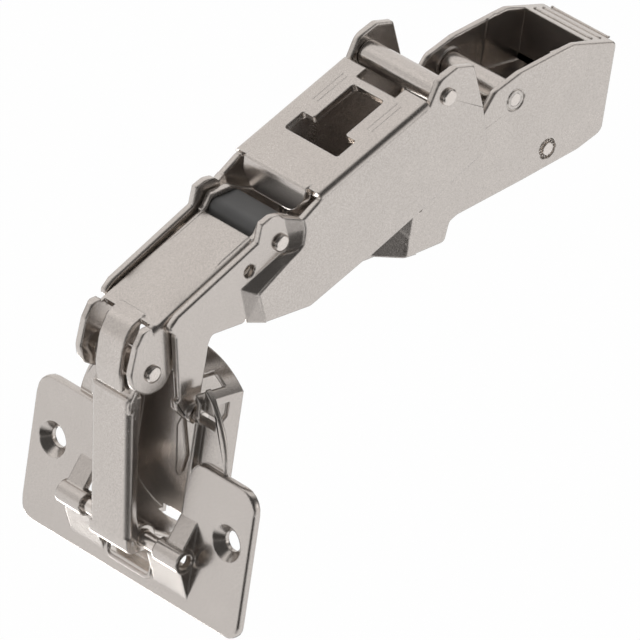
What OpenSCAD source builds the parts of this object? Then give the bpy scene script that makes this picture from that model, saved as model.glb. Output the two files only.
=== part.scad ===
// Wide-angle concealed cup hinge for a cabinet door, shown fully open.
// X points into the door from the cup plate, Y runs along the pins, Z is up.
// The origin is midway between the two screw holes, on the front of the plate.

/* [Cup plate] */
// Distance between the two screw holes
hole_pitch = 45; // [43:0.5:47]
// Radius of each screw hole
hole_r = 1.9; // [1.6:0.1:2.1]
// Radius of the countersink at the plate's front
sink_r = 3.5; // [3.2:0.1:3.9]
// Depth of the pressed countersink
sink_depth = 1.7; // [1.4:0.1:2]
// Width of the plate along the pins
plate_w = 56.4; // [55:0.5:60]
// Height of the plate above the screw line
plate_up = 11.6; // [11:0.2:13]
// Height of the plate below the screw line
plate_down = 17.4; // [17:0.2:19]
// Thickness of the plate's sheet
plate_t = 1.2; // [1:0.1:1.4]
// Depth of the rim folded back round the plate
rim_depth = 1.8; // [1.5:0.1:2.4]

/* [Pot] */
// Diameter of the pot that sinks into the door
pot_d = 35; // [34.6:0.1:35.2]
// Height of the pot's centre above the screw line
pot_rise = 9.5; // [9:0.1:10]
// Depth of the pot behind the plate's front
pot_depth = 10.4; // [10:0.1:12]
// Width over the pot's flat sides
pot_w = 23.6; // [23.2:0.1:24.4]
// Thickness of the pot's drawn wall
pot_t = 0.9; // [0.7:0.1:1.1]
// Radius of the round flange beside the pot
flange_r = 19; // [18.6:0.1:20]

/* [Pivots] */
// Height of the cup pin below the screw line
cup_drop = 6.4; // [6.2:0.1:6.8]
// Distance of the cup pin in front of the plate
cup_out = 2.3; // [2.1:0.1:2.6]
// Height of the front lever pin above the screw line
front_rise = 28.5; // [28:0.1:29]
// Distance of the front lever pin in front of the plate
front_out = 8.5; // [8.2:0.1:8.8]
// Depth of the crossing pin behind the plate's front
cross_in = 17; // [16.6:0.1:17.4]
// Height of the crossing pin above the screw line
cross_rise = 48.8; // [48.4:0.1:49.2]
// Depth of the top pin behind the plate's front
top_in = 52.5; // [52:0.1:53]
// Height of the top pin above the screw line
top_rise = 69.8; // [69.4:0.1:70.2]
// Depth of the arm's upper pin behind the plate's front
arm_in = 72.4; // [72:0.1:72.8]
// Height of the arm's upper pin above the screw line
arm_rise = 64; // [63.6:0.1:64.4]
// Depth of the rear cup pivot behind the plate's front
rear_in = 1.2; // [1:0.1:1.6]
// Height of the rear cup pivot above the screw line
rear_rise = 19.5; // [19:0.1:20]

/* [Levers] */
// Width over the outer lever's side walls
outer_w = 22; // [21.6:0.1:22.6]
// Thickness of the outer lever's sheet
outer_t = 1.5; // [1.3:0.1:1.6]
// Inward step of the outer lever's legs on each side
joggle = 1.9; // [1.8:0.1:2.1]
// Thickness of the inner lever's sheet
inner_t = 1.5; // [1.3:0.1:1.6]
// Thickness of the arm's sheet
arm_t = 1.4; // [1.2:0.1:1.5]
// Thickness of the front and rear links' sheet
link_t = 1.2; // [1:0.1:1.3]
// Width of the front link's barrels
link_w = 10; // [9:0.2:10.4]
// Width of the inner lever's front tongue
tongue_w = 6.4; // [5.6:0.2:7]

/* [Pins] */
// Radius of the lever and link pins
pin_r = 1.25; // [1.1:0.05:1.35]
// Radius of the riveted pin heads
head_r = 1.65; // [1.6:0.05:1.9]
// Height of the riveted pin heads
head_h = 0.8; // [0.5:0.1:1]
// Radius of the cup pin
cup_pin_r = 1.5; // [1.3:0.05:1.6]

/* [Fits] */
// Side clearance between neighbouring sheets
side_gap = 0.3; // [0.2:0.05:0.35]
// Radial clearance of a turning barrel on its pin
pin_gap = 0.05; // [0.03:0.01:0.08]

/* [Hidden] */
$fn = 48;

G = [-cup_out, -cup_drop];
D = [-front_out, front_rise];
C = [cross_in, cross_rise];
F = [top_in, top_rise];
B = [arm_in, arm_rise];
E = [rear_in, rear_rise];
A = C + B - F;
// clip rivet and clip lever pivot, placed from the arm's upper pin
P = B + [10.5, -12];

outer_y = outer_w / 2;
outer_in = outer_y - outer_t;
leg_y = outer_y - joggle;
leg_in = leg_y - outer_t;
arm_y = outer_in - side_gap;
arm_iny = arm_y - arm_t;
inner_y = leg_in - side_gap;
inner_iny = inner_y - inner_t;
nose_y = inner_iny - side_gap;
nose_iny = nose_y - arm_t;
barrel_r = pin_r + pin_gap + link_t;
cup_barrel_r = cup_pin_r + pin_gap + link_t;
clip_r = 1.9;
clip_half = 4.5;
boss_h = 0.9;
slot_in = 6;
ring_r = 2.25;
ring_depth = 0.3;
link_half = 4.6;
eps = 0.01;
// outer lever's top: edge rounding, half width of the lip, depth of the bead lines
web_round = 1.3;
lip_half = 7.8;
rib_depth = 0.1;

// unit vector, left normal and direction helpers in the side plane
function unit(v) = v / norm(v);
function left(v) = [-v[1], v[0]];
// arc of points round the middle corner of three, tangent to both sides
function fillet(a, b, c, r) =
    let(u = unit(a - b), w = unit(c - b),
        half = acos(max(-1, min(1, u * w))) / 2,
        reach = min(r / tan(half), 0.49 * norm(a - b), 0.49 * norm(c - b)),
        q = reach * tan(half),
        m = b + unit(u + w) * (q / sin(half)),
        s = b + u * reach - m,
        turn = (180 - 2 * half) * (cross(u, w) > 0 ? -1 : 1),
        n = max(2, ceil(abs(turn) / 18)))
    [for (i = [0:n]) let(t = turn * i / n)
        m + [s[0] * cos(t) - s[1] * sin(t), s[0] * sin(t) + s[1] * cos(t)]];
// outline whose corners are [x, z] or [x, z, radius]
function rounded(p) = [for (i = [0:len(p) - 1])
    let(b = [p[i][0], p[i][1]], r = len(p[i]) > 2 ? p[i][2] : 0,
        a = p[(i + len(p) - 1) % len(p)], c = p[(i + 1) % len(p)])
    each (r > 0 ? fillet([a[0], a[1]], b, [c[0], c[1]], r) : [b])];
// corner given from a pivot, with an optional rounding
function at(o, x, z, r = 0) = [o[0] + x, o[1] + z, r];

// solid between two planes across the pins, from an outline in X and Z
module slab(y0, y1) {
    translate([0, y1, 0]) rotate([90, 0, 0]) linear_extrude(y1 - y0) children();
}
module both(y0, y1) {
    slab(y0, y1) children();
    slab(-y1, -y0) children();
}
// round bar along Y
module bar(o, r, y0, y1) {
    translate([o[0], y1, o[1]]) rotate([90, 0, 0]) cylinder(r = r, h = y1 - y0);
}
// hole along Y through everything
module hole(o, r) {
    bar(o, r, -40, 40);
}
// riveted pin with domed heads on both ends
module rivet(o, r, half, hr, hh) {
    bar(o, r, -half - eps, half + eps);
    for (s = [-1, 1])
        translate([o[0], s * half, o[1]]) rotate([-90 * s, 0, 0])
            rotate_extrude() polygon([[0, 0], [hr, 0], [hr, hh * 0.55],
                [hr - hh * 0.3, hh * 0.9], [hr - hh * 0.75, hh], [0, hh]]);
}
// box section across the pins whose top runs along a line: rounded U profile
module u_section(o, dir, half, t, r, depth, length, back = 0) {
    ang = atan2(dir[1], dir[0]);
    ri = max(r - t, 0.2);
    flat = half - t - ri;
    translate([o[0], 0, o[1]]) rotate([0, -ang, 0]) translate([-back, 0, 0])
        rotate([90, 0, 90]) linear_extrude(length + back) difference() {
            union() {
                translate([-half, -depth]) square([2 * half, depth - r]);
                translate([-half + r, -r - eps]) square([2 * half - 2 * r, r + eps]);
                for (s = [-1, 1]) translate([s * (half - r), -r]) circle(r);
            }
            translate([-half + t, -depth - 1]) square([2 * half - 2 * t, depth + 1 - t - ri]);
            translate([-flat, -t - ri - eps]) square([2 * flat, ri + eps]);
            for (s = [-1, 1]) translate([s * flat, -t - ri]) circle(ri);
        }
}

// arm: wide rear channel that tapers forward into a narrow nose
function arm_side() = rounded([
    at(A, 12.7, -2.2), at(A, 14.6, -5.1, 0.8), at(A, 22.7, -4.2, 1), at(A, 23.3, -0.3, 1),
    at(B, -10.5, -20.4, 2), at(P, -5.4, -5.2, 4), at(P, 8.3, -2.1, 4), at(P, 14, 0.3, 2),
    at(P, 14.2, 18, 1.2), at(B, 13.5, 7.9, 3), at(B, 10.7, 7.4, 2), at(B, 0.3, 5.2, 3),
    at(B, -5.6, 2.7, 2), at(B, -7.7, -0.8, 2), at(B, -11, -6, 3), at(A, 16.4, 6.5, 3)]);
function nose_side() = rounded([
    at(A, -5.2, -3, 3.5), at(A, 0, -6.4, 3), at(A, 15, -5, 0), at(A, 22, -3.4, 0),
    at(A, 22, 5, 0), at(A, 12, 5.4, 3), at(A, 0, 5.4, 4), at(A, -5.2, 3.4, 3.5)]);

module arm_body() {
    color("lightgray") difference() {
        union() {
            // rear channel, open on top, with a closed bottom and rear
            intersection() {
                slab(-arm_y, arm_y) polygon(arm_side());
                union() {
                    both(arm_iny, arm_y) polygon(arm_side());
                    slab(-arm_y, arm_y) difference() {
                        polygon(arm_side());
                        translate([-arm_t, arm_t]) polygon(arm_side());
                    }
                    // clip-on pad across the rear top
                    slab(-arm_y, arm_y) polygon([at2(P, 0, 12), at2(P, 30, 5),
                        at2(P, 30, 30), at2(P, 0, 30)]);
                }
            }
            // narrow nose inside the inner lever's channel
            both(nose_iny, nose_y) polygon(nose_side());
            slab(-nose_y, nose_y) difference() {
                polygon(nose_side());
                translate([0, arm_t]) polygon(nose_side());
            }
            // tapered shoulders between the nose and the rear channel
            for (s = [-1, 1]) shoulder(s);
        }
        hole(A, pin_r);
        hole(B, pin_r);
        hole(P, clip_r);
        // ring pressed round the upper pin and recess round the clip rivet
        both(arm_y - ring_depth, arm_y + 1) difference() {
            translate(B) circle(ring_r);
            translate(B) circle(ring_r - 0.4);
        }
        both(arm_y - 2 * ring_depth, arm_y + 1) translate(P) circle(clip_r + 0.15);
        pad_grooves();
        // slot for the clip lever, through the bottom and the rear wall
        slab(-clip_half - side_gap, clip_half + side_gap) polygon([at2(P, -5.2, -12),
            at2(P, 40, -12), at2(P, 40, 9), at2(P, 12, 9), at2(P, -5.2, 3)]);
    }
}
function at2(o, x, z) = [o[0] + x, o[1] + z];
// sloping sheet that carries each nose wall out to the rear channel
module shoulder(s) {
    z0 = A[1] - 5.2;
    z1 = A[1] + 3.6;
    x0 = A[0] + 8.4;
    x1 = A[0] + 13.9;
    slab_y = [nose_iny, nose_y, arm_y, arm_iny];
    pts = [[x0 - 1, slab_y[0]], [x0, slab_y[0]], [x1, slab_y[3]], [x1 + 2, slab_y[3]],
        [x1 + 2, slab_y[2]], [x1 - 0.5, slab_y[2]], [x0 - 0.5, slab_y[1]], [x0 - 1, slab_y[1]]];
    translate([0, 0, z0]) linear_extrude(z1 - z0)
        polygon([for (p = pts) [p[0], s * p[1]]]);
}
// three pressed grooves across the pad
module pad_grooves() {
    for (i = [0:2]) {
        o = B + [15.2 + 2.3 * i, 7.55 - 0.39 * i];
        bar(o, 0.45, -7, 7);
    }
}
module nose_pin() {
    color("silver") bar(A, pin_r, -inner_y, inner_y);
}
module arm_pin() {
    color("silver") bar(B, pin_r, -arm_y, arm_y);
}
module clip_rivet() {
    color("silver") {
        bar(P, clip_r, -arm_y + 2 * ring_depth, arm_y - 2 * ring_depth);
        bar(P, clip_r - 0.7, -arm_y - 0.2, arm_y + 0.2);
    }
}
module clip_lever() {
    color("lightgray") slab(-clip_half, clip_half) difference() {
        polygon(rounded([at(P, -3.4, -3.0, 1), at(P, 3, -2.6, 1), at(P, 17.5, 4, 1.4),
            at(P, 17.5, 7, 1), at(P, 14.7, 8, 0.5), at(P, 3.2, 4, 1), at(P, -3.4, 3.4, 1)]));
        translate(P) circle(clip_r + pin_gap);
    }
}

// inner lever: inverted channel from the front pin past the crossing pin to the nose
function inner_side() = rounded([
    at(D, -5.2, 0.6, 3), at(D, -4, -2.6, 3), at(D, -0.2, -4.4, 3), at(D, 3.4, -3.8, 2.5),
    at(D, 6.2, 2.2, 5), at(C, -4.5, -7.4, 6), at(C, 3, -7, 4), at(A, 0, -3.9, 4),
    at(A, 4.1, -3, 3.5), at(A, 4.1, 2.6, 3.5), at(A, 0, 4.4, 4), at(C, 4.6, 3, 4),
    at(C, 1.6, 4.2, 3), at(C, -3, 3.6, 1), at(C, -4, 1.2, 0.6),
    at(D, 0.2, 9.2, 1.4), at(D, -3.4, 8.9, 1.6), at(D, -4.7, 5.9, 2)]);
module inner_lever() {
    dir = [cos(29), sin(29)];
    top = D + [-0.6, 9.1];
    color("lightgray") difference() {
        intersection() {
            slab(-inner_y, inner_y) polygon(inner_side());
            union() {
                both(inner_iny, inner_y) polygon(inner_side());
                u_section(top, dir, inner_y, inner_t, inner_t + 0.1, 6, 24.6);
            }
        }
        hole(D, pin_r);
        hole(C, pin_r);
        hole(A, pin_r + pin_gap);
    }
    color("lightgray") tongue();
}
// tongue that folds down in front of the front link
module tongue() {
    slab(-tongue_w / 2, tongue_w / 2) polygon(rounded([
        at(D, 0.6, 9.75), at(D, -2.5, 8.1, 3), at(D, -3.95, 4.6, 6), at(D, -3.9, -1, 4),
        at(D, -2.7, -5), at(D, -1.6, -4.7), at(D, -2.8, -1.1, 3), at(D, -2.85, 4.2, 5),
        at(D, -1.7, 7.1, 2), at(D, 1.2, 8.65)]));
}
module front_pin() {
    color("silver") rivet(D, pin_r, inner_y, head_r, head_h);
}
module cross_pin() {
    color("silver") rivet(C, pin_r, leg_y + pin_gap, head_r, head_h);
}
module damper_cam() {
    w = inner_iny - 0.1;
    color("dimgray") slab(-w, w) difference() {
        polygon(rounded([at(C, -3.6, -0.8, 0.6), at(C, -3.2, 2.6, 1.6), at(C, 3.6, 3.4, 1.4),
            at(C, 4.8, 0.2, 1.5), at(C, 2.5, -4, 2), at(C, -3, -3.6, 2)]));
        translate(C) circle(pin_r);
    }
}

// outer lever: one drawn sheet, wide body above and stepped legs below
function outer_side() = rounded([
    at(C, 3.1, 4.4), at(C, 4.0, 2.2), at(C, 4.1, -0.6), at(C, 3.2, -1.6), at(C, 1, -3.1),
    at(C, -5.5, -8.2), at(C, -2.7, -14.3, 1), at(C, 8.3, -13.7, 2), at(C, 20, -7.8, 1),
    at(C, 21.7, -7.2, 1), at(F, -4.8, -23.3, 2), at(F, 12.7, -12.9, 1.4), at(F, 9.8, -4.1, 2),
    at(F, 5.7, 4.8, 0.8), at(F, 1.4, 5.4, 1), at(F, -2.6, 3.6, 3), at(F, -4.3, -1.25, 1),
    at(C, 6.5, 7.1, 0.5)]);
function leg_side() = rounded([
    at(C, 0.3, 4.6, 1), at(C, -1, 5.5, 1), at(C, -3, 5.6, 2), at(C, -6.5, 3.9, 2),
    at(C, -22.2, -8.3, 1), at(C, -24.8, -11.5, 1), at(C, -22.8, -13, 1), at(E, -3.9, 3, 1),
    at(E, -4.9, 3.2, 0.6), at(E, -4.4, 1.3, 1), at(E, -1.6, -1.2, 1), at(E, 2, -1.8, 1),
    at(E, 1.5, 1.7, 1), at(E, 1.6, 12.8, 1), at(E, 2.1, 14.4, 1), at(C, -5.2, -14.4, 1),
    at(C, -8.1, -7.3), at(C, 0.3, -2.7), at(C, 2.6, -1.9), at(C, 2, 0.2)]);
// the edge where the wide body's wall ends, and where the leg's wall begins
function step_out() = [C + [3.1, 4.4], C + [4.0, 2.2], C + [4.1, -0.6], C + [3.2, -1.6],
    C + [1, -3.1], C + [-5.5, -8.2], C + [-2.7, -14.3]];
function step_in() = [C + [0.3, 4.6], C + [1.6, 1.6], C + [2, 0.2], C + [2.6, -1.9] - [0.4, 0],
    C + [0.3, -2.7], C + [-8.1, -7.3], C + [-5.2, -14.4]];
module step_band(s) {
    a = step_out();
    b = step_in();
    n = len(a);
    pts = [for (i = [0:n - 1]) let(d = unit(a[i] - b[i]) * 0.25)
        each [[a[i][0] + d[0], s * outer_y, a[i][1] + d[1]],
            [b[i][0] - d[0], s * leg_y, b[i][1] - d[1]],
            [b[i][0] - d[0], s * leg_in, b[i][1] - d[1]],
            [a[i][0] + d[0], s * outer_in, a[i][1] + d[1]]]];
    sides = [for (i = [0:n - 2]) for (k = [0:3])
        [4 * i + k, 4 * i + (k + 1) % 4, 4 * i + 4 + (k + 1) % 4, 4 * i + 4 + k]];
    tris = [for (f = sides) each [[f[0], f[1], f[2]], [f[0], f[2], f[3]]]];
    all = concat(tris, [[3, 2, 1], [3, 1, 0]],
        [[4 * n - 4, 4 * n - 3, 4 * n - 2], [4 * n - 4, 4 * n - 2, 4 * n - 1]]);
    polyhedron(points = pts, faces = s > 0 ? all : [for (f = all) [f[2], f[1], f[0]]]);
}
module outer_lever() {
    dir = [cos(27.15), sin(27.15)];
    top = C + [6.5, 8.5];
    color("lightgray") difference() {
        union() {
            both(outer_in, outer_y) polygon(outer_side());
            both(leg_in, leg_y) polygon(leg_side());
            for (s = [-1, 1]) step_band(s);
            // boss pressed outward at each leg's end
            both(leg_y - eps, leg_y + boss_h) translate(E) circle(1.9);
            web(dir, top);
        }
        hole(C, pin_r + pin_gap);
        hole(F, pin_r);
        both(leg_in - 1, leg_y + 1) translate(C + [-6.7, -4.1]) circle(1.3);
        window(dir, top);
        // recess that clears the rear link when the hinge is shut
        slab(-link_half - side_gap, link_half + side_gap) polygon([at2(F, -7, -4), at2(F, -3, -4),
            at2(F, -3, 6), at2(F, -7, 6)]);
    }
}
// flat top of the outer lever with its rolled front edge
module web(dir, top) {
    intersection() {
        u_section(top, dir, outer_y, outer_t, web_round, 4.5, 27.2);
        slab(-outer_y, outer_y) polygon([at2(C, 5, 4), at2(C, 34, 16), at2(F, -4.4, 3),
            at2(C, 4, 12)]);
    }
    // lip bent straight down at the front, with rounded lower corners
    x0 = top[0] - 0.6;
    z0 = C[1] + 2.9;
    z1 = top[1] - 1.4;
    along_x(x0, x0 + outer_t) polygon(rounded([[-lip_half, z1], [-lip_half, z0 + 3, 2],
        [-lip_half + 2.6, z0, 2.6], [lip_half - 2.6, z0, 2.6], [lip_half, z0 + 3, 2],
        [lip_half, z1]]));
    slab(-lip_half, lip_half) polygon(rounded([top + dir * 1.2, concat(top + dir * 0.1 - [0.6, 0], 1),
        [x0, z1 - 0.2], [x0 + outer_t, z1 - 0.2], top + dir * 1.9 - [0, outer_t]]));
}
// stepped window through the top
module window(dir, top) {
    ang = atan2(dir[1], dir[0]);
    translate([top[0], 0, top[1]]) rotate([0, -ang, 0]) {
        translate([0, 0, -3]) linear_extrude(6) polygon(rounded([[8.3, -6.75, 0.5], [13.1, -6.75, 0.5],
            [13.1, -4, 0.5], [23.1, -4, 0.8], [23.1, 4, 0.8], [13.1, 4, 0.5], [13.1, 6.75, 0.5],
            [8.3, 6.75, 0.5]]));
        // two shallow beads beside the window
        for (s = [-1, 1]) translate([0, s * 6.9, -rib_depth]) linear_extrude(1) difference() {
            translate([16.3, -0.65]) square([7.6, 1.3]);
            translate([16.45, -0.5]) square([7.3, 1]);
        }
    }
}
module top_pin() {
    color("silver") rivet(F, pin_r, outer_y, head_r, head_h);
}

// rear link: one sheet rolled round the top pin and round the arm's upper pin
module rear_link() {
    u = unit(B - F);
    n = -left(u);
    top_half = outer_in - 0.15;
    low_half = arm_iny - side_gap;
    color("lightgray") difference() {
        union() {
            bar(F, barrel_r, -top_half, top_half);
            bar(B, barrel_r, -low_half, low_half);
            slab(-link_half, link_half) polygon([F + n * barrel_r, B + n * barrel_r,
                B + n * (barrel_r - link_t), F + n * (barrel_r - link_t)]);
        }
        hole(F, pin_r + pin_gap);
        hole(B, pin_r + pin_gap);
    }
}
// front link: channel from the front lever pin down to the cup pin
module front_link() {
    half = link_w / 2;
    foot = G + [-4.1, -0.6];
    dir = unit(D + [-2.4, -6.3] - foot);
    color("lightgray") difference() {
        union() {
            bar(D, barrel_r, -half, half);
            bar(G, cup_barrel_r, -half, half);
            // channel with a rounded front, open towards the pot
            intersection() {
                u_section(foot, dir, half, link_t, link_t + 0.15, 3.4, 30);
                slab(-half, half) polygon(rounded([at(G, -6, -2), at(G, -1, -2), at(G, -1.2, 1.5, 2),
                    foot + dir * 5 - left(dir) * 2.6, foot + dir * 22 - left(dir) * 2.6,
                    at(D, 0.6, -4, 2), at(D, 1.5, 0), at(D, -1.3, 0), at(D, -1.3, -4.6, 1.5),
                    concat(foot + dir * 29.3 + left(dir) * 0.2, 2), foot + left(dir)]));
            }
            // sheet bent in to the barrels at both ends
            slab(-half, half) polygon(rounded([foot + dir * 27 - left(dir) * 0.2,
                concat(foot + dir * 29.2 - left(dir) * 0.2, 2), at(D, -1.25, -4.6, 1.5),
                at(D, -1.25, -1.2), at(D, 0, -1.2), at(D, 0, -4.9, 1),
                foot + dir * 27 - left(dir) * link_t]));
            slab(-half, half) polygon(rounded([foot + dir * 1, concat(foot - dir * 2, 1.6),
                at(G, -0.6, -2.7), at(G, -0.6, -1.6), at(G, -2.6, -1.4, 1),
                foot + dir * 1 - left(dir) * link_t]));
        }
        hole(D, pin_r + pin_gap);
        hole(G, cup_pin_r + pin_gap);
    }
}

// cup: plate, folded rim, pin tunnels and the drawn pot
module plate_outline(grow = 0) {
    w = plate_w / 2 + grow;
    polygon(rounded([[-w, -plate_down - grow, 3], [w, -plate_down - grow, 3],
        [w, plate_up + grow, 4], [-w, plate_up + grow, 4]]));
}
// extrusion along X from an outline in Y and Z
module along_x(x0, x1) {
    translate([x0, 0, 0]) rotate([90, 0, 90]) linear_extrude(x1 - x0) children();
}
tunnel_in = outer_in;
tunnel_out = tunnel_in + 6.2;
tunnel_t = 0.8;
tunnel_r = cup_pin_r + tunnel_t;
ramp_in = 6.6;
floor_half = 6.2;
floor_in = 3.1;
ramp_out = tunnel_out - 0.6;
cup_pin_half = tunnel_out - 3;
module pot_outline(cut = 0) {
    intersection() {
        translate([0, pot_rise]) circle(pot_d / 2 - cut, $fn = 96);
        square([pot_w - 2 * cut, 80], center = true);
    }
}
mouth_y = pot_w / 2 - pot_t;
module mouth() {
    polygon(rounded([[-8.8, -9.5], [-5.8, -13.8, 1], [5.8, -13.8, 1], [8.8, -9.5],
        [8.8, -4.9, 0.6], [mouth_y, -1.5, 5], [mouth_y, pot_rise + 2],
        [mouth_y, plate_up + 3], [-mouth_y, plate_up + 3], [-mouth_y, pot_rise + 2],
        [-mouth_y, -1.5, 5], [-8.8, -4.9, 0.6]]));
}
// sheet lanced forward over each end of the cup pin: upper and lower ramps and the tube
module ridge() {
    both(tunnel_in, tunnel_out) translate(G) circle(tunnel_r);
    both(mouth_y, ramp_out) polygon([[plate_t, 1.6], [0, 0.7], G + [-0.4, tunnel_r - 0.1],
        G + [0, -tunnel_r + 0.4], [plate_t, -4]]);
    both(ramp_in, ramp_out) polygon([G + [0, 0], G + [-0.4, -tunnel_r + 0.1], [0, -14.6],
        [plate_t, -15.4], [plate_t, -7]]);
}
// space left behind the ramps by the lanced sheet
module ridge_hollow() {
    both(ramp_in - 1, ramp_out - tunnel_t) difference() {
        polygon([[plate_t + 1, 0.2], [0.72, 0.2], G + [0.8, tunnel_r - 1], G + [0.8, -tunnel_r + 1],
            [0.75, -14.2], [plate_t + 1, -14.2]]);
        translate(G) circle(tunnel_r - 0.1);
    }
    // past the pin's end the tube is open to the back
    both(cup_pin_half + 0.2, ramp_out - tunnel_t) polygon([G + [0.2, cup_pin_r - 0.05],
        G + [0.2, 0.05 - cup_pin_r], [plate_t + 1, G[1] + 0.05 - cup_pin_r],
        [plate_t + 1, G[1] + cup_pin_r - 0.05]]);
}
module cup() {
    color("silver") difference() {
        union() {
            along_x(0, plate_t) plate_outline();
            along_x(0, rim_depth) difference() {
                plate_outline();
                offset_rim();
            }
            along_x(0, pot_depth) pot_outline();
            // round flange beside the pot
            along_x(plate_t, 2 * plate_t) difference() {
                translate([0, pot_rise]) circle(flange_r, $fn = 96);
                square([pot_w - pot_t, 80], center = true);
            }
            ridge();
            // drawn floor behind the lower end of the mouth
            slab(-floor_half, floor_half) polygon(rounded([[plate_t - 0.2, -14.9],
                [floor_in + pot_t, -14.9, 1], [floor_in + pot_t, -6.8], [floor_in, -6.8],
                [floor_in, -14, 0.4], [plate_t - 0.2, -14]]));
            // collars pressed back behind the screw holes
            for (s = [-1, 1]) translate([0, s * hole_pitch / 2, 0]) rotate([0, 90, 0])
                translate([0, 0, plate_t - eps])
                    cylinder(r1 = sink_r + 0.6, r2 = hole_r + 0.9, h = sink_depth - 0.3);
        }
        ridge_hollow();
        // hollow of the pot and the mouth in the plate
        along_x(plate_t, pot_depth - pot_t) pot_outline(pot_t);
        along_x(-1, plate_t + 1) mouth();
        along_x(-1, plate_t + 1) intersection() {
            translate([-mouth_y, plate_up - 4]) square([2 * mouth_y, 40]);
            pot_outline(pot_t);
        }
        // slots in the pot's top for the outer lever's legs
        both(leg_in - side_gap, leg_y + boss_h + side_gap) polygon([[-1, pot_rise + 9],
            [rear_in + slot_in, pot_rise + 9], [rear_in + slot_in, pot_rise + 20],
            [-1, pot_rise + 20]]);
        // pointed window in each flat side, beside the rear pivot
        both(mouth_y - 1, pot_w / 2 + 1) polygon([[rear_in + 1.9, rear_rise + 1.7],
            [rear_in + 6, rear_rise + 1.7], [rear_in + 6, rear_rise - 1], [rear_in + 4, rear_rise - 3],
            [rear_in + 1.9, rear_rise - 1]]);
        // opening low in the pot, behind the front link
        slab(-2.6, 2.6) polygon([[pot_depth - 2, -6], [pot_depth + 1, -6], [pot_depth + 1, -10],
            [pot_depth - 2, -10]]);
        // rounded upper corners where the plate meets the pot
        for (s = [-1, 1]) along_x(-1, plate_t) difference() {
            translate([s > 0 ? pot_w / 2 : -pot_w / 2 - 3, plate_up - 3]) square([3, 4]);
            translate([s * (pot_w / 2 + 3), plate_up - 3]) circle(3);
        }
        // screw holes, with the wall of the hole behind the countersink
        for (s = [-1, 1]) translate([0, s * hole_pitch / 2, 0]) rotate([0, 90, 0]) {
            translate([0, 0, -1]) cylinder(r = hole_r, h = 6);
            translate([0, 0, -0.01]) cylinder(r1 = sink_r, r2 = hole_r, h = sink_depth);
        }
        hole(G, cup_pin_r);
        for (s = [-1, 1]) bar([rear_in, rear_rise], pin_r, s > 0 ? pot_w / 2 - 3 : -pot_w / 2 - 3,
            s > 0 ? pot_w / 2 + 3 : -pot_w / 2 + 3);
    }
}
module offset_rim() {
    w = plate_w / 2 - plate_t;
    polygon(rounded([[-w, -plate_down + plate_t, 2], [w, -plate_down + plate_t, 2],
        [w, plate_up - plate_t, 3], [-w, plate_up - plate_t, 3]]));
}
module cup_pin() {
    color("silver") bar(G, cup_pin_r, -cup_pin_half, cup_pin_half);
}
module rear_stub(s) {
    y0 = leg_y + boss_h + side_gap;
    y1 = pot_w / 2;
    color("silver") bar(E, pin_r, s > 0 ? y0 : -y1, s > 0 ? y1 : -y0);
}
module rear_stub_left() {
    rear_stub(1);
}
module rear_stub_right() {
    rear_stub(-1);
}

arm_body();
nose_pin();
arm_pin();
clip_rivet();
clip_lever();
inner_lever();
front_pin();
cross_pin();
damper_cam();
outer_lever();
top_pin();
rear_link();
front_link();
cup();
cup_pin();
rear_stub_left();
rear_stub_right();
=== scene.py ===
"""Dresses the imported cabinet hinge: satin nickel sheet, bright pins, grey plastic, soft studio."""
import math

import bmesh
import bpy
from bpy.props import FloatProperty, FloatVectorProperty, PointerProperty
from mathutils import Matrix, Vector


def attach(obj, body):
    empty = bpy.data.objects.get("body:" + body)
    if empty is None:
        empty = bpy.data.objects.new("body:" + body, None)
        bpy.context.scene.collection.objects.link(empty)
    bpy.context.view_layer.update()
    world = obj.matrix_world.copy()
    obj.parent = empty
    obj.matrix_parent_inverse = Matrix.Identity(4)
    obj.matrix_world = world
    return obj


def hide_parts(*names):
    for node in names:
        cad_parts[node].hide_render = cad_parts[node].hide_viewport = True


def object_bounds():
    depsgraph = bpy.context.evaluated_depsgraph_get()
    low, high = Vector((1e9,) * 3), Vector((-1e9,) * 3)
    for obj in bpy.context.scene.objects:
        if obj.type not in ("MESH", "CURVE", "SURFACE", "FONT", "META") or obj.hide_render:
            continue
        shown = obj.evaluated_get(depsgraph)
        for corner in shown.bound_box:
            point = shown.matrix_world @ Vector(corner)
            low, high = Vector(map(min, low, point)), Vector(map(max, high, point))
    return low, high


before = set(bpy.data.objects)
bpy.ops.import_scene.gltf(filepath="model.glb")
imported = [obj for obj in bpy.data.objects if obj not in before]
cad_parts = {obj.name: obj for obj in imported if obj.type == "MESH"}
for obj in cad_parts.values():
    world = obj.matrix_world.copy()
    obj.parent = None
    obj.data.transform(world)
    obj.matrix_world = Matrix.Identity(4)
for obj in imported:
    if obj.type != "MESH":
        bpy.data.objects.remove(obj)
cad_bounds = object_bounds()

bl_info = {
    "name": "Concealed cup hinge finish",
    "version": (1, 0, 0),
    "blender": (4, 5, 0),
    "location": "View3D > Sidebar > Hinge",
    "description": "Gives the packed cabinet hinge its metal, plastic and small pressed details",
    "category": "Object",
}

MM = 0.001

SHEET_NODES = ("arm_body", "clip_lever", "inner_lever", "outer_lever", "rear_link", "front_link")
PIN_NODES = ("nose_pin", "arm_pin", "clip_rivet", "front_pin", "cross_pin", "top_pin",
             "cup_pin", "rear_stub_left", "rear_stub_right")
PLASTIC_NODES = ("damper_cam",)

# pins and holes, all along Y, as X and Z in millimetres
ARM_PIN = (72.4, 64.0)
CLIP_RIVET = (82.9, 52.0)
NOSE_PIN = (36.9, 43.0)
TOP_PIN = (52.5, 69.8)
CROSS_PIN = (17.0, 48.8)
FRONT_PIN = (-8.5, 28.5)
LEG_HOLE = (9.5, 45.2)
LEG_STUBS = (1.2, 19.5)

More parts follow.
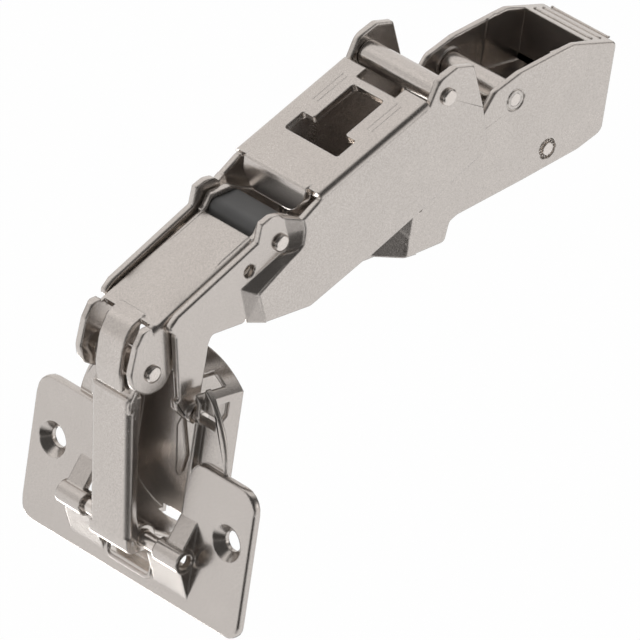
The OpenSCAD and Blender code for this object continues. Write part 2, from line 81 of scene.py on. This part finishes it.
# spots whose edges stay sharp when the sheets are softened, and how far round each
KEPT_SHARP = (
    (ARM_PIN, 2.6), (CLIP_RIVET, 2.6), (NOSE_PIN, 1.8), (TOP_PIN, 1.8), (CROSS_PIN, 1.8),
    (FRONT_PIN, 1.8), (LEG_HOLE, 1.8), (LEG_STUBS, 1.8),
    ((53.2, 49.0), 5.0),        # the arm's step in to its nose
    ((48.9, 48.2), 1.2),        # the nose's upper corner
    ((-10.2, 37.3), 1.9),       # the inner lever's corner beside the tongue
)

# the softened sheets: node, new piece, body, and the rounding of its cut edges in millimetres
SOFT_SHEETS = (
    ("arm_body", "arm_channel", "arm", 0.45),
    ("outer_lever", "outer_sheet", "outer", 0.4),
    ("inner_lever", "inner_sheet", "inner", 0.35),
    ("front_link", "front_sheet", "front", 0.3),
)

# the cup's plate: its border and the rounding there, and the tunnels and screws kept sharp
BORDER_Y, BORDER_Z, BORDER_ROUND = 13.5, -15.5, 0.5
TUNNEL_Y, TUNNEL_LOW, TUNNEL_HIGH = 16.0, -11.0, -1.0
SCREW_Y, SCREW_REACH = 22.5, 4.5

# the arm: just past its inner walls, its side wall's recess, and the ribs across its rear pad
ARM_INSIDE = 7.82
RECESS_SIDES = (-8.95, 8.95)
PAD_RIBS_X = (92.3, 94.6, 96.9)
PAD_MIDDLE_X, PAD_FALL = 94.4, 0.17


# ---------------------------------------------------------------- sizes and colours

class HingeFinishSettings(bpy.types.PropertyGroup):
    nickel: FloatVectorProperty(
        name="Nickel", description="Colour of the plated sheet",
        subtype="COLOR", size=3, min=0, max=1, default=(0.60, 0.555, 0.52))
    # the bright colour is mixed in along the edges as part edge wear and part painted highlight
    nickel_bright: FloatVectorProperty(
        name="Bright edge", description="Colour of rubbed edges and pins",
        subtype="COLOR", size=3, min=0, max=1, default=(0.80, 0.765, 0.73))
    plastic: FloatVectorProperty(
        name="Plastic", description="Colour of the moulded cam",
        subtype="COLOR", size=3, min=0, max=1, default=(0.10, 0.10, 0.10))
    sheet_roughness: FloatProperty(
        name="Sheet roughness", description="Middle roughness of the plated sheet",
        min=0.05, max=1, default=0.25)
    rim_round: FloatProperty(
        name="Rim rounding", description="Radius that the cup's pressed rim catches light on",
        min=0, max=0.002, default=0.0005, unit="LENGTH")
    edge_round: FloatProperty(
        name="Edge rounding", description="Radius that the sheet's cut edges catch light on",
        min=0, max=0.001, default=0.0005, unit="LENGTH")


class HingeStageSettings(bpy.types.PropertyGroup):
    floor_drop: FloatProperty(
        name="Floor drop", description="Distance of the floor below the hinge",
        min=0, max=1, default=0.35, unit="LENGTH")
    key_power: FloatProperty(
        name="Lamp power", description="Power in watts that each lamp takes its share of",
        min=0, max=100, default=0.6)
    camera_distance: FloatProperty(
        name="Camera distance", description="Distance from the hinge to the camera",
        min=0.5, max=5, default=1.8, unit="LENGTH")


# ---------------------------------------------------------------- node expressions

# rays that a Bevel or Ambient Occlusion node sends
SAMPLES = 6


class Sock:
    """A node's output on which Python arithmetic adds nodes."""

    def __init__(self, tree, socket):
        self.tree, self.socket = tree, socket

    def _math(self, op, a, b):
        node = self.tree.nodes.new("ShaderNodeMath")
        node.operation = op
        for i, v in enumerate((a, b)):
            if isinstance(v, Sock):
                self.tree.links.new(v.socket, node.inputs[i])
            else:
                node.inputs[i].default_value = v
        return Sock(self.tree, node.outputs[0])

    def __add__(self, o): return self._math("ADD", self, o)
    def __sub__(self, o): return self._math("SUBTRACT", self, o)
    def __rsub__(self, o): return self._math("SUBTRACT", o, self)
    def __mul__(self, o): return self._math("MULTIPLY", self, o)
    def __pow__(self, o): return self._math("POWER", self, o)
    def most(self, o): return self._math("MAXIMUM", self, o)
    def least(self, o): return self._math("MINIMUM", self, o)
    def clip(self): return self.most(0.0).least(1.0)

    def ramp(self, start, slope):
        """0 up to a start value, then rising by a slope to 1."""
        return ((self - start) * slope).clip()


class Nodes:
    """A node tree, with short ways to add nodes."""

    def __init__(self, tree):
        self.tree = tree
        self.tree.nodes.clear()

    def node(self, kind, settings=None, **sockets):
        """A node of a type: its settings are set first, then its inputs' values or links."""
        made = self.tree.nodes.new(kind)
        for key, value in (settings or {}).items():
            setattr(made, key, value)
        for key, value in sockets.items():
            by_number = key[0] == "_" and key[1:].isdigit()
            socket = made.inputs[int(key[1:]) if by_number else key.replace("_", " ")]
            if isinstance(value, Sock):
                self.tree.links.new(value.socket, socket)
            else:
                socket.default_value = value
        return made

    def out(self, kind, output, settings=None, **sockets):
        """One output of a new node."""
        made = self.node(kind, settings, **sockets)
        return Sock(self.tree, made.outputs[output])

    def mix(self, factor, a, b):
        """Colour between a and b."""
        made = self.tree.nodes.new("ShaderNodeMix")
        made.data_type = "RGBA"
        for i, v in ((0, factor), (6, a), (7, b)):
            if isinstance(v, Sock):
                self.tree.links.new(v.socket, made.inputs[i])
            else:
                made.inputs[i].default_value = v if i == 0 else (*v, 1.0)
        return Sock(self.tree, made.outputs[2])

    def xyz(self, vector):
        """A vector's three numbers."""
        parts = self.node("ShaderNodeSeparateXYZ", None, Vector=vector)
        return [Sock(self.tree, parts.outputs[i]) for i in range(3)]


class Finish(Nodes):
    """One material's nodes."""

    def __init__(self, name):
        self.material = bpy.data.materials.get(name) or bpy.data.materials.new(name)
        self.material.use_nodes = True
        super().__init__(self.material.node_tree)

    def place(self):
        """Object coordinates in millimetres."""
        coords = self.out("ShaderNodeTexCoord", "Object")
        return self.out("ShaderNodeMapping", 0, None, Vector=coords, Scale=(1 / MM,) * 3)

    def noise(self, place, scale, detail, rough):
        """Noise from 0 to 1, its scale in cells for each millimetre."""
        return self.out("ShaderNodeTexNoise", "Fac", None, Vector=place, Scale=scale,
                        Detail=detail, Roughness=rough)

    def wear_and_highlight(self, radius, gain):
        """The normal rounded over the edges, and how much of an edge a spot is."""
        rounded = self.out("ShaderNodeBevel", 0, {"samples": SAMPLES}, Radius=radius)
        plain = self.out("ShaderNodeNewGeometry", "Normal")
        level = self.out("ShaderNodeVectorMath", "Value", {"operation": "DOT_PRODUCT"},
                         _0=rounded, _1=plain)
        return rounded, ((1.0 - level) * gain).clip()

    def finish(self, shader):
        """Ends the tree with its shader and gives the material."""
        made = self.tree.nodes.new("ShaderNodeOutputMaterial")
        self.tree.links.new(shader.socket, made.inputs["Surface"])
        return self.material


# ---------------------------------------------------------------- materials

# the reach and the pale colour of the painted light in deep folds
FOLD_REACH = 12 * MM
FOLD_PAINTED_LIGHT_COLOUR = (0.90, 0.85, 0.80)


def plated_metal(name, base, bright, roughness, edge, speckle=1.0):
    """Satin plated steel: fine speckle, soft clouding, edges painted brighter as part wear and part
    painted highlight, and deep folds painted paler as painted light.
    """
    f = Finish(name)
    spot = f.place()
    fine = f.noise(spot, scale=5.5, detail=2.0, rough=0.6)
    grain = f.noise(spot, scale=2.2, detail=3.0, rough=0.6)
    cloud = f.noise(spot, scale=0.16, detail=2.0, rough=0.5)
    rounded, edge_wear_and_highlight = f.wear_and_highlight(edge, gain=5.0)
    mottle = ((fine - 0.5) * 2.2 + (grain - 0.5) * 0.8 + (cloud - 0.5) * 0.4 + 0.5).clip()
    shade = f.mix(mottle, tuple(c * (1 - 0.15 * speckle) for c in base),
                  tuple(min(1, c * (1 + 0.13 * speckle)) for c in base))
    # painted light: where ambient occlusion finds a deep fold, the base colour is mixed toward a
    # paler colour, which stands in for the light that the fold mirrors many times over
    open_sky = f.out("ShaderNodeAmbientOcclusion", "AO", {"samples": SAMPLES},
                     Distance=FOLD_REACH)
    fold_painted_light = f.mix(((0.58 - open_sky) * 2.0).clip(), shade, FOLD_PAINTED_LIGHT_COLOUR)
    # part edge wear, part painted highlight: where the rounded normal turns away from the face, the
    # colour is mixed toward the bright colour and the roughness drops
    plated = f.mix(edge_wear_and_highlight * 0.4, fold_painted_light, bright)
    rough = ((fine - 0.5) * (0.14 * speckle) + (cloud - 0.5) * 0.12 + (roughness - 0.02)
             - edge_wear_and_highlight * 0.10)
    bump = f.out("ShaderNodeBump", 0, {"invert": False}, Strength=0.16 * speckle,
                 Distance=0.04 * MM, Height=fine * 0.6 + grain * 0.4, Normal=rounded)
    return f.finish(f.out("ShaderNodeBsdfPrincipled", 0, None, Base_Color=plated, Metallic=0.90,
                          Roughness=rough.clip(), Normal=bump, IOR=1.8))


def moulded_plastic(name, base, edge):
    """Dark grey moulded plastic with a fine spark-eroded grain."""
    f = Finish(name)
    spot = f.place()
    grain = f.noise(spot, scale=4.0, detail=3.0, rough=0.65)
    broad = f.noise(spot, scale=0.3, detail=2.0, rough=0.5)
    rounded, edge_wear_and_highlight = f.wear_and_highlight(edge, gain=4.0)
    # the plastic is paler in broad random patches, and paler along its edges as part wear and part
    # painted highlight
    colour = f.mix((broad * 0.6 + edge_wear_and_highlight * 0.5).clip(), base, tuple(c * 1.5 + 0.01 for c in base))
    bump = f.out("ShaderNodeBump", 0, {"invert": False}, Strength=0.25,
                 Distance=0.05 * MM, Height=grain, Normal=rounded)
    return f.finish(f.out("ShaderNodeBsdfPrincipled", 0, None, Base_Color=colour,
                          Roughness=(grain * 0.18 + 0.36).clip(), Normal=bump))


def sheet_metal():
    """The plating of the arm, the levers and the links."""
    s = bpy.context.scene.hinge_finish
    return plated_metal("satin_nickel", tuple(s.nickel), tuple(s.nickel_bright),
                        s.sheet_roughness, s.edge_round)


def cup_metal():
    """The cup's plating, a little darker than the levers'."""
    s = bpy.context.scene.hinge_finish
    return plated_metal("cup_nickel", tuple(c * 0.96 for c in s.nickel), tuple(s.nickel_bright),
                        0.24, s.rim_round)


def pin_metal():
    """The pins' plating, brighter and smoother than the sheet's."""
    s = bpy.context.scene.hinge_finish
    return plated_metal("bright_nickel", tuple(min(1, 1.25 * c) for c in s.nickel),
                        tuple(s.nickel_bright), 0.22, s.edge_round * 0.8, speckle=0.6)


def paint(piece, material):
    """Gives a piece one material."""
    piece.data.materials.clear()
    piece.data.materials.append(material)


def dress(names, material):
    """Gives CAD nodes one material."""
    for name in names:
        paint(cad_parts[name], material)


# ---------------------------------------------------------------- shapes

WELD_GAP = 0.001 * MM
SOFT_GAP = 0.002 * MM
# angles in radians: what lies flat, what is smooth, the sharpest bend, the least cut corner
FLAT_TURN = 0.004
SMOOTH_TURN = 0.03
WIDEST_BEND = 0.5
CUT_CORNER = 0.9
# how much larger one face at a bend may be than the other
BEND_RATIO = 12
# the smallest flat face whose border is rounded, in square metres
BROAD_FACE = 0.000012


def mark_edges(bm):
    """Shades a mesh smooth along its bends and sharp at its corners and flat faces."""
    for face in bm.faces:
        face.smooth = True
    for edge in bm.edges:
        if len(edge.link_faces) != 2:
            edge.smooth = False
            continue
        turn = edge.calc_face_angle(0.0)
        small, large = sorted(face.calc_area() for face in edge.link_faces)
        flat = any(max(abs(c) for c in face.normal) > 0.999 for face in edge.link_faces)
        bend = turn < WIDEST_BEND and not flat and large < BEND_RATIO * max(small, 1e-12)
        edge.smooth = turn < SMOOTH_TURN or bend


def weld(mesh):
    """Joins a CAD mesh's loose triangles and marks its edges sharp or smooth."""
    bm = bmesh.new()
    bm.from_mesh(mesh)
    bmesh.ops.remove_doubles(bm, verts=bm.verts, dist=WELD_GAP)
    mark_edges(bm)
    bm.to_mesh(mesh)
    bm.free()


def soften(mesh, axis, width, wanted):
    """Rounds the wanted convex edges round the flat faces that look along an axis."""
    bm = bmesh.new()
    bm.from_mesh(mesh)
    bmesh.ops.remove_doubles(bm, verts=bm.verts, dist=SOFT_GAP)
    bmesh.ops.dissolve_limit(bm, angle_limit=FLAT_TURN, verts=bm.verts, edges=bm.edges)
    picked = []
    for edge in bm.edges:
        if (len(edge.link_faces) != 2 or not edge.is_convex
                or edge.calc_face_angle(0.0) < CUT_CORNER):
            continue
        flats = [face for face in edge.link_faces
                 if abs(face.normal[axis]) > 0.995 and face.calc_area() > BROAD_FACE]
        if flats and wanted((edge.verts[0].co + edge.verts[1].co) / (2 * MM)):
            picked.append(edge)
    bmesh.ops.bevel(bm, geom=picked, offset=width, offset_type="OFFSET", segments=3, profile=0.5,
                    affect="EDGES", clamp_overlap=False, loop_slide=True)
    bmesh.ops.remove_doubles(bm, verts=bm.verts, dist=SOFT_GAP)
    bmesh.ops.dissolve_degenerate(bm, edges=bm.edges, dist=SOFT_GAP)
    bmesh.ops.triangulate(bm, faces=[face for face in bm.faces if len(face.verts) > 4])
    mark_edges(bm)
    bm.to_mesh(mesh)
    bm.free()


def off_pins(spot):
    """Whether a spot in millimetres is clear of every place that stays sharp."""
    return all(math.hypot(spot.x - x, spot.z - z) > reach for (x, z), reach in KEPT_SHARP)


def on_border(spot):
    """Whether a spot in millimetres is on the cup plate's outer border."""
    at_tunnel = abs(spot.y) < TUNNEL_Y and TUNNEL_LOW < spot.z < TUNNEL_HIGH
    at_screw = math.hypot(abs(spot.y) - SCREW_Y, spot.z) < SCREW_REACH
    outer = abs(spot.y) > BORDER_Y or spot.z < BORDER_Z
    return outer and not at_tunnel and not at_screw


def add(name, mesh):
    """A new object for a mesh, a lamp or a lens."""
    piece = bpy.data.objects.new(name, mesh)
    bpy.context.collection.objects.link(piece)
    return piece


def solid(name, rings):
    """A closed tube between two outlines of like points in millimetres."""
    bm = bmesh.new()
    rings = [[bm.verts.new(tuple(c * MM for c in p)) for p in ring] for ring in rings]
    bm.faces.new(rings[0])
    bm.faces.new(rings[1][::-1])
    count = len(rings[0])
    for i in range(count):
        j = (i + 1) % count
        bm.faces.new((rings[0][i], rings[1][i], rings[1][j], rings[0][j]))
    bmesh.ops.recalc_face_normals(bm, faces=bm.faces)
    mesh = bpy.data.meshes.new(name)
    bm.to_mesh(mesh)
    bm.free()
    return add(name, mesh)


def prism(name, outline, y0, y1):
    """A closed prism along Y over an outline of X and Z in millimetres."""
    return solid(name, [[(x, y, z) for x, z in outline] for y in (y0, y1)])


def fold_cut(top, tilt, half, radius, run, side):
    """What a folded sheet's square corner has outside its round bend, in millimetres."""
    proud, steps = 0.4, 6
    turn = math.radians(tilt)
    along, out = (math.cos(turn), math.sin(turn)), (-math.sin(turn), math.cos(turn))
    section = [(half + proud, proud), (half + proud, -radius), (half, -radius)]
    for i in range(1, steps):
        a = math.radians(90 / steps * i)
        section.append((half - radius + radius * math.cos(a), -radius + radius * math.sin(a)))
    section += [(half - radius, 0.0), (half - radius, proud)]
    return solid("fold_cut", [
        [(top[0] + along[0] * t + out[0] * h, side * y, top[1] + along[1] * t + out[1] * h)
         for y, h in section] for t in run])


def settle(piece, name):
    """The plain mesh that a piece and its modifiers make, in place of the piece."""
    graph = bpy.context.evaluated_depsgraph_get()
    mesh = bpy.data.meshes.new_from_object(piece.evaluated_get(graph), depsgraph=graph)
    bpy.data.objects.remove(piece)
    return add(name, mesh)


def trimmed(node, name, cutters):
    """A welded copy of a CAD node with the cutters' shapes cut away."""
    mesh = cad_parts[node].data.copy()
    weld(mesh)
    piece = add(name + "_raw", mesh)
    for cutter in cutters:
        cut = piece.modifiers.new("cut", "BOOLEAN")
        cut.operation, cut.solver, cut.object = "DIFFERENCE", "EXACT", cutter
    piece = settle(piece, name)
    for cutter in cutters:
        bpy.data.objects.remove(cutter)
    weld(piece.data)
    return piece


# ---------------------------------------------------------------- geometry nodes

class Shape(Nodes):
    """One geometry tree with named inputs."""

    def __init__(self, name, sockets):
        super().__init__(bpy.data.node_groups.new(name, "GeometryNodeTree"))
        face = self.tree.interface
        face.new_socket("Geometry", in_out="INPUT", socket_type="NodeSocketGeometry")
        for label, kind, value in sockets + (("Finish", "Material", None),):
            made = face.new_socket(label, in_out="INPUT", socket_type="NodeSocket" + kind)
            if value is not None:
                made.default_value = value
        face.new_socket("Geometry", in_out="OUTPUT", socket_type="NodeSocketGeometry")
        self.given = self.tree.nodes.new("NodeGroupInput")

    def input(self, label):
        """One of the tree's named inputs."""
        return Sock(self.tree, self.given.outputs[label])

    def close(self, geometry):
        """Ends the tree as the export needs it: real meshes with their material."""
        real = self.out("GeometryNodeRealizeInstances", 0, None, _0=geometry)
        smooth = self.out("GeometryNodeSetShadeSmooth", 0, None, _0=real)
        painted = self.out("GeometryNodeSetMaterial", 0, None, _0=smooth,
                           Material=self.input("Finish"))
        output = self.tree.nodes.new("NodeGroupOutput")
        self.tree.links.new(painted.socket, output.inputs[0])
        return self.tree


def bead_tree():
    """Sweeps a round bead along the edges of a path."""
    f = Shape("hinge_bead", (("Radius", "Float", 0.0003), ("Corner", "Float", 0.0)))
    path = f.out("GeometryNodeMeshToCurve", 0, None, _0=f.input("Geometry"))
    path = f.out("GeometryNodeFilletCurve", 0, {"mode": "POLY"}, Curve=path, Count=4,
                 Radius=f.input("Corner"))
    ring = f.out("GeometryNodeCurvePrimitiveCircle", 0, None, Resolution=12,
                 Radius=f.input("Radius"))
    return f.close(f.out("GeometryNodeCurveToMesh", 0, None, _0=path, _1=ring, Fill_Caps=True))


def stud_tree():
    """Sets a small dome on every point."""
    f = Shape("hinge_studs", (("Radius", "Float", 0.0002), ("Squash", "Vector", (1.0, 1.0, 1.0))))
    dome = f.out("GeometryNodeMeshUVSphere", 0, None, Segments=10, Rings=6,
                 Radius=f.input("Radius"))
    return f.close(f.out("GeometryNodeInstanceOnPoints", 0, None, _0=f.input("Geometry"),
                         Instance=dome, Scale=f.input("Squash")))


def grown(name, tree, points, edges, finish, body, slot, **sizes):
    """Runs a tree on points in millimetres and gives the plain mesh to a body."""
    mesh = bpy.data.meshes.new(name)
    mesh.from_pydata([tuple(c * MM for c in p) for p in points], edges, [])
    piece = add(name + "_raw", mesh)
    grow = piece.modifiers.new("grow", "NODES")
    grow.node_group = tree
    values = dict(sizes, Finish=finish)
    for item in tree.interface.items_tree:
        if item.in_out == "INPUT" and item.name in values:
            grow[item.identifier] = values[item.name]
    piece = settle(piece, name)
    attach(piece, body)
    return piece


def chains(*runs):
    """Points and edges of several open or closed runs."""
    points, edges = [], []
    for run, closed in runs:
        first = len(points)
        points += run
        edges += [(first + i, first + i + 1) for i in range(len(run) - 1)]
        if closed:
            edges.append((len(points) - 1, first))
    return points, edges


def round_run(centre, y, radius, count):
    """Points of a ring about Y at a centre in X and Z."""
    turns = [2 * math.pi * i / count for i in range(count)]
    return [(centre[0] + radius * math.cos(t), y, centre[1] + radius * math.sin(t))
            for t in turns]


def on_pad(x, y, height):
    """A spot on the arm's rear pad, which slopes down to the rear, from its height midway."""
    return (x, y, height - PAD_FALL * (x - PAD_MIDDLE_X))


# ---------------------------------------------------------------- operators

class OBJECT_OT_hinge_sheet(bpy.types.Operator):
    """Plates the arm, the levers and the links"""
    bl_idname = "object.hinge_sheet"
    bl_label = "Plate arm and levers"

    def execute(self, context):
        finish = sheet_metal()
        dress(SHEET_NODES, finish)
        cutters = {
            # the rear opening reaches back to the narrow pad
            "arm_body": [prism("opening_cut", [(81.0, 61.0), (90.4, 61.0), (90.4, 76.0),
                                               (81.0, 76.0)], -ARM_INSIDE, ARM_INSIDE)],
            # the legs' upper edges lie just below the inner lever's fold
            "outer_lever": [prism("leg_cut", [(-14, 34.9), (11.5, 49.8), (11.8, 53.4),
                                              (13.2, 57), (-14, 57)], -12, 12)],
            "inner_lever": [fold_cut(top=(-9.1, 37.6), tilt=29, half=7.3, radius=1.5,
                                     run=(-1.0, 24.4), side=side) for side in (-1, 1)],
        }
        for node, name, body, width in SOFT_SHEETS:
            piece = trimmed(node, name, cutters.get(node, []))
            soften(piece.data, 1, width * MM, off_pins)
            paint(piece, finish)
            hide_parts(node)
            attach(piece, body)
        return {"FINISHED"}


class OBJECT_OT_hinge_cup(bpy.types.Operator):
    """Plates the cup and its plate"""
    bl_idname = "object.hinge_cup"
    bl_label = "Plate cup"

    def execute(self, context):
        piece = trimmed("cup", "pressed_cup", [])
        soften(piece.data, 0, BORDER_ROUND * MM, on_border)
        paint(piece, cup_metal())
        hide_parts("cup")
        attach(piece, "cup")
        return {"FINISHED"}


class OBJECT_OT_hinge_pins(bpy.types.Operator):
    """Gives the pins and rivets their brighter finish"""
    bl_idname = "object.hinge_pins"
    bl_label = "Finish pins"

    def execute(self, context):
        dress(PIN_NODES, pin_metal())
        return {"FINISHED"}


class OBJECT_OT_hinge_plastic(bpy.types.Operator):
    """Gives the damper cam its moulded plastic"""
    bl_idname = "object.hinge_plastic"
    bl_label = "Finish plastic"

    def execute(self, context):
        s = context.scene.hinge_finish
        dress(PLASTIC_NODES, moulded_plastic("grey_plastic", tuple(s.plastic), s.edge_round * 1.5))
        return {"FINISHED"}


class OBJECT_OT_hinge_beads(bpy.types.Operator):
    """Adds the pressed beads, ribs, collars and the slot bar"""
    bl_idname = "object.hinge_beads"
    bl_label = "Add pressed beads"

    def execute(self, context):
        tree = bead_tree()
        sheet, bright = sheet_metal(), pin_metal()
        # the plate's lower window has a bead on three sides
        window = [(0.15, 5.6, -11.6), (0.15, 5.6, -14.9), (0.15, -5.6, -14.9),
                  (0.15, -5.6, -11.6)]
        grown("window_bead", tree, *chains((window, False)), sheet, "cup", "steel",
              Radius=0.5 * MM, Corner=1.3 * MM)
        # the slot in the pot's floor, with a bent bar across it
        bar = [(9.3, 0.6, 11.9), (9.3, -1.45, 5.5), (9.3, -0.75, 1.9)]
        grown("slot_bar", tree, *chains((bar, False)), bright, "cup", "pin_steel",
              Radius=0.33 * MM, Corner=0.6 * MM)
        rim = [(9.45, 1.3, 11.5), (9.45, 2.0, 9.8), (9.45, 0.6, 1.2), (9.45, 0.1, 0.6),
               (9.45, -0.5, 1.1)]
        grown("slot_rim", tree, *chains((rim, False)), sheet, "cup", "steel",
              Radius=0.14 * MM, Corner=0.3 * MM)
        collars = [(round_run(ARM_PIN, y, 2.95, 28), True) for y in (-7.75, 7.75)]
        grown("pin_collars", tree, *chains(*collars), sheet, "arm", "steel",
              Radius=0.36 * MM, Corner=0.0)
        ribs = [([on_pad(x, y, 70.42) for y in (-6.9, 6.9)], False) for x in PAD_RIBS_X]
        grown("pad_ribs", tree, *chains(*ribs), sheet, "arm", "steel",
              Radius=0.24 * MM, Corner=0.0)
        return {"FINISHED"}


class OBJECT_OT_hinge_studs(bpy.types.Operator):
    """Adds the rivet's teeth and the ends of the pad's ribs"""
    bl_idname = "object.hinge_studs"
    bl_label = "Add small studs"

    def execute(self, context):
        tree = stud_tree()
        sheet, bright = sheet_metal(), pin_metal()
        teeth = [p for y in RECESS_SIDES for p in round_run(CLIP_RIVET, y, 1.55, 14)]
        grown("rivet_teeth", tree, teeth, [], bright, "arm", "pin_steel",
              Radius=0.24 * MM, Squash=(1.0, 1.0, 1.0))
        ends = [on_pad(x, y, 70.5) for x in PAD_RIBS_X for y in (-7.1, 7.1)]
        grown("rib_ends", tree, ends, [], sheet, "arm", "steel",
              Radius=0.34 * MM, Squash=(1.0, 1.0, 0.6))
        return {"FINISHED"}


# ---------------------------------------------------------------- stage

FLOOR_HALF = 3.0
LIGHT_COLOUR = (1.0, 0.985, 0.965)
# name, way from the hinge, distance, size, share of the lamp power
LAMPS = (
    ("key", (-0.50, 0.50, 0.70), 0.8, 0.4, 0.12),
    ("edge", (0.62, -0.70, 0.25), 0.8, 0.16, 0.12),
    ("bounce", (0.05, 0.60, -0.80), 0.25, 0.10, 0.32),
)
# the photograph's frame: its size, the origin's place in it, and how many pixels to the right
# and down a millimetre along X, Y and Z is, with a spot near the hinge's middle to aim at
PICTURE = 640.0
ORIGIN = (140.4, 489.4)
ALONG = Vector((4.02, -3.88, 0.755))
DOWN = Vector((-1.218, -2.24, -5.03))
HINGE_MIDDLE = Vector((45.0, 0.0, 30.0))
SENSOR = 36.0


class OBJECT_OT_hinge_stage(bpy.types.Operator):
    """Sets the pale floor, the studio light and the camera"""
    bl_idname = "object.hinge_stage"
    bl_label = "Set stage"

    def execute(self, context):
        s = context.scene.hinge_stage
        self.floor(s)
        self.world()
        self.lamps(s)
        self.camera(s)
        view = context.scene.view_settings
        view.view_transform = "Standard"
        return {"FINISHED"}

    def floor(self, s):
        """A pale floor that shows white, with dark cards in what the metal mirrors."""
        low, r = cad_bounds[0][2] - s.floor_drop, FLOOR_HALF
        mesh = bpy.data.meshes.new("floor")
        mesh.from_pydata([(-r, -r, low), (r, -r, low), (r, r, low), (-r, r, low)], [],
                         [(0, 1, 2, 3)])
        floor = add("floor", mesh)
        f = Finish("pale_floor")
        path = f.node("ShaderNodeLightPath")
        glossy, through, first = (Sock(f.tree, path.outputs[name]) for name in
                                  ("Is Glossy Ray", "Is Transmission Ray", "Is Camera Ray"))
        mirrored = glossy.most(through)
        x, y, _ = f.xyz(f.out("ShaderNodeTexCoord", "Object"))
        # dark cards that only the metal mirrors: one before the hinge, one low behind it
        near, across = x * -1.0 - y, (x - y).most(y - x)
        front = near.ramp(0.30, 3.0) * ((1.0 - across) * 3.0).clip()
        away = ((x - 0.36) * (x - 0.36) + (y - 0.34) * (y - 0.34)) ** 0.5
        back = ((0.34 - away) * 7.0).clip()
        seen = first.most(mirrored)
        matt = f.out("ShaderNodeBsdfDiffuse", 0, None, Color=(0.9, 0.9, 0.9, 1.0))
        tone = f.mix(mirrored * front.most(back), (1.0, 1.0, 1.0), (0.04, 0.038, 0.036))
        glow = f.out("ShaderNodeEmission", 0, None, Color=tone, Strength=1.0)
        # the little matt paint that is left under the glow keeps the hinge's shadow
        both = f.out("ShaderNodeMixShader", 0, None, _0=seen * 0.985, _1=matt, _2=glow)
        mesh.materials.append(f.finish(both))

    def world(self):
        """A studio of soft panels round a dark room, which the camera sees as white."""
        world = bpy.data.worlds.new("studio")
        bpy.context.scene.world = world
        world.use_nodes = True
        f = Nodes(world.node_tree)
        seen = f.out("ShaderNodeLightPath", "Is Camera Ray")
        x, y, z = f.xyz(f.out("ShaderNodeTexCoord", "Generated"))
        # a soft box above and behind, a low strip on the right, a flank on the left, a pale
        # floor below, and a dark room between them
        softbox = (x * 0.35 + y * 0.62 + z * 0.70).ramp(0.45, 4.0)
        strip = (x * 0.66 - y * 0.74 + z * 0.10).ramp(0.86, 8.0)
        flank = (x * -0.78 + y * 0.61 + z * 0.13).ramp(0.82, 8.0)
        below = (z * -1.0).ramp(-0.02, 4.0)
        level = (softbox * 0.88 + strip * 0.9 + flank * 0.72 + below * 0.76 + 0.07).clip()
        sky = f.mix(level, (0.0, 0.0, 0.0), (1.0, 0.985, 0.97))
        lit = f.mix(seen, sky, (1.0, 1.0, 1.0))
        shader = f.out("ShaderNodeBackground", 0, None, Color=lit, Strength=1.0)
        made = f.tree.nodes.new("ShaderNodeOutputWorld")
        f.tree.links.new(shader.socket, made.inputs["Surface"])

    def lamps(self, s):
        """Three small lamps that draw the bright lines along the edges."""
        middle = (Vector(cad_bounds[0]) + Vector(cad_bounds[1])) / 2
        for name, way, reach, size, share in LAMPS:
            lamp = bpy.data.lights.new(name, "AREA")
            lamp.shape = "SQUARE"
            lamp.size = size
            lamp.energy = s.key_power * share
            lamp.color = LIGHT_COLOUR
            way = Vector(way).normalized()
            holder = add(name, lamp)
            holder.location = middle + way * reach
            holder.rotation_euler = way.to_track_quat("Z", "Y").to_euler()

    def camera(self, s):
        """A camera at the photograph's viewing angle and framing."""
        scale = (ALONG.length + DOWN.length) / 2
        right = ALONG.normalized()
        up = -(DOWN - right * DOWN.dot(right)).normalized()
        back = right.cross(up)
        du = ORIGIN[0] + ALONG.dot(HINGE_MIDDLE) - PICTURE / 2
        dv = ORIGIN[1] + DOWN.dot(HINGE_MIDDLE) - PICTURE / 2
        centre = HINGE_MIDDLE - right * (du / scale) + up * (dv / scale)
        lens = bpy.data.cameras.new("camera")
        lens.sensor_width = SENSOR
        lens.lens = scale * s.camera_distance / MM * SENSOR / PICTURE
        lens.clip_start = 0.01
        lens.clip_end = 50.0
        holder = add("camera", lens)
        turn = Matrix((right, up, back)).transposed().to_4x4()
        holder.matrix_world = Matrix.Translation(centre * MM + back * s.camera_distance) @ turn
        bpy.context.scene.camera = holder


# ---------------------------------------------------------------- add-on

class VIEW3D_PT_hinge(bpy.types.Panel):
    """Lists the hinge's steps"""
    bl_idname = "VIEW3D_PT_hinge"
    bl_label = "Cup hinge"
    bl_space_type = "VIEW_3D"
    bl_region_type = "UI"
    bl_category = "Hinge"

    def draw(self, context):
        for step in STEPS:
            self.layout.operator(step.bl_idname)


STEPS = (OBJECT_OT_hinge_sheet, OBJECT_OT_hinge_cup, OBJECT_OT_hinge_pins,
         OBJECT_OT_hinge_plastic, OBJECT_OT_hinge_beads, OBJECT_OT_hinge_studs,
         OBJECT_OT_hinge_stage)
CLASSES = (HingeFinishSettings, HingeStageSettings) + STEPS + (VIEW3D_PT_hinge,)


def register():
    for c in CLASSES:
        bpy.utils.register_class(c)
    bpy.types.Scene.hinge_finish = PointerProperty(type=HingeFinishSettings)
    bpy.types.Scene.hinge_stage = PointerProperty(type=HingeStageSettings)


def unregister():
    del bpy.types.Scene.hinge_stage
    del bpy.types.Scene.hinge_finish
    for c in reversed(CLASSES):
        bpy.utils.unregister_class(c)


def main():
    """Runs every step."""
    register()
    for step in STEPS:
        group, name = step.bl_idname.split(".")
        getattr(getattr(bpy.ops, group), name)()


if __name__ == "__main__":
    main()
